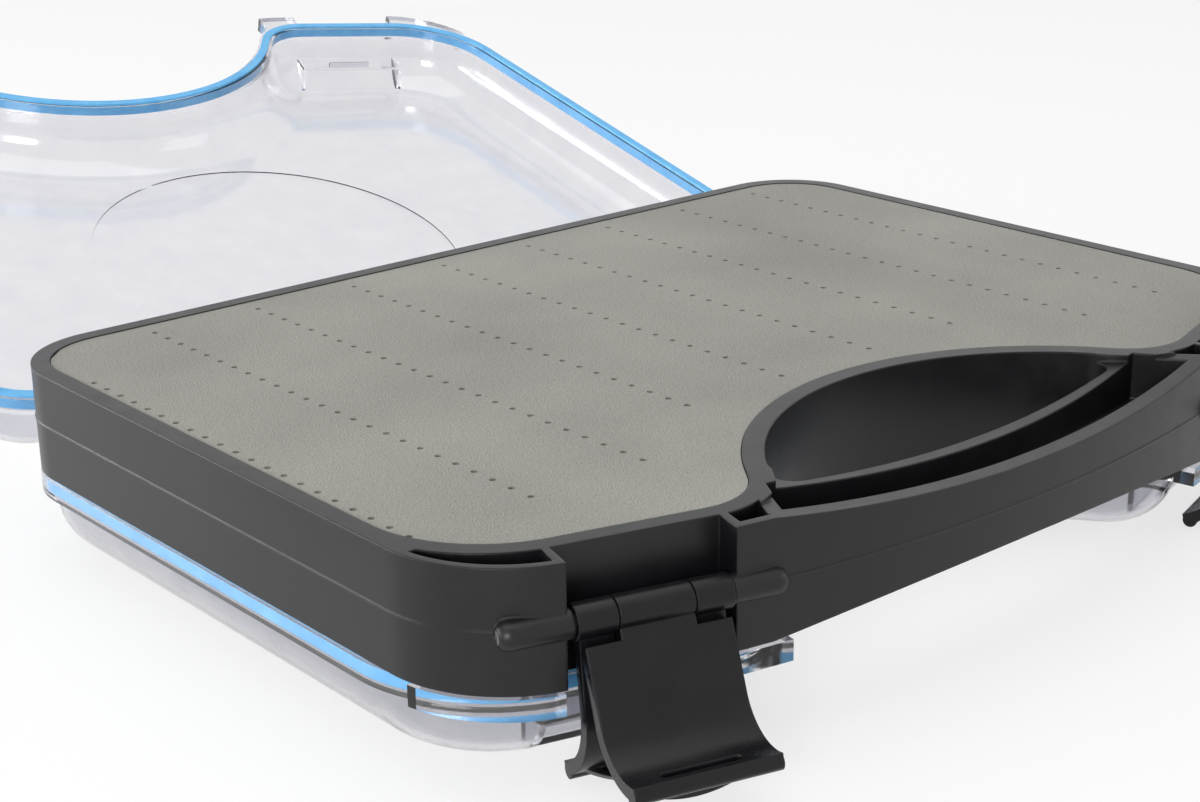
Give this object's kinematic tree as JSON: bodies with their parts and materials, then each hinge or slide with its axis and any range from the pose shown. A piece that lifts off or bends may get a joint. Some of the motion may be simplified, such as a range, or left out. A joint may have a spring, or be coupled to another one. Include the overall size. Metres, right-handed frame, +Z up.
{
  "type": "fly box",
  "caption": "Boat-style tackle case with a black handled centre frame, foam pads on both faces, clear hinged lids with seals, and hook latches.",
  "frame": {"origin": "middle of the face the case stands on, the floor of the lower lid", "axes": "+X to the right across the handled front, +Y to the hinged back, +Z up"},
  "size_m": [0.356, 0.5546, 0.109],
  "materials": {
    "frame_plastic": "fine textured black",
    "clear_plastic": "clear, slightly hazed",
    "seal": "blue elastomer",
    "foam": "closed-cell foam, grey taupe",
    "latch_plastic": "black, lightly textured",
    "pin_steel": "plain"
  },
  "bodies": {
    "frame": {"body": "frame_plastic", "top_foam": "foam", "bottom_foam": "foam", "left_latch_pin": "pin_steel", "right_latch_pin": "pin_steel", "top_left_hinge_pin": "pin_steel", "top_right_hinge_pin": "pin_steel", "bottom_left_hinge_pin": "pin_steel", "bottom_right_hinge_pin": "pin_steel"},
    "upper_lid": {"top_lid": "clear_plastic", "top_gasket": "seal"},
    "lower_lid": {"bottom_lid": "clear_plastic", "bottom_gasket": "seal"},
    "upper_left_latch": {"top_left_latch": "latch_plastic"},
    "upper_right_latch": {"top_right_latch": "latch_plastic"},
    "lower_left_latch": {"bottom_left_latch": "latch_plastic"},
    "lower_right_latch": {"bottom_right_latch": "latch_plastic"}
  },
  "joints": [
    {"name": "upper_lid_hinge", "type": "hinge", "parent": "frame", "child": "upper_lid", "pos_m": [0, 0.14, 0.0512], "axis": [1, 0, 0], "range_deg": [0, 164.6]},
    {"name": "lower_lid_hinge", "type": "hinge", "parent": "frame", "child": "lower_lid", "pos_m": [0, 0.14, 0.0428], "axis": [1, 0, 0], "range_deg": [0, 42]},
    {"name": "upper_left_latch_hinge", "type": "hinge", "parent": "frame", "child": "upper_left_latch", "pos_m": [-0.12819, -0.11538, 0.047], "axis": [-0.96, 0.28, 0], "range_deg": [0, 164]},
    {"name": "upper_right_latch_hinge", "type": "hinge", "parent": "frame", "child": "upper_right_latch", "pos_m": [0.12819, -0.11538, 0.047], "axis": [-0.96, -0.28, 0], "range_deg": [-145.5, 18.5]},
    {"name": "lower_left_latch_hinge", "type": "hinge", "parent": "frame", "child": "lower_left_latch", "pos_m": [-0.12819, -0.11538, 0.047], "axis": [-0.96, 0.28, 0], "range_deg": [-18.5, 1.5]},
    {"name": "lower_right_latch_hinge", "type": "hinge", "parent": "frame", "child": "lower_right_latch", "pos_m": [0.12819, -0.11538, 0.047], "axis": [-0.96, -0.28, 0], "range_deg": [-18.5, 145.5]}
  ]
}
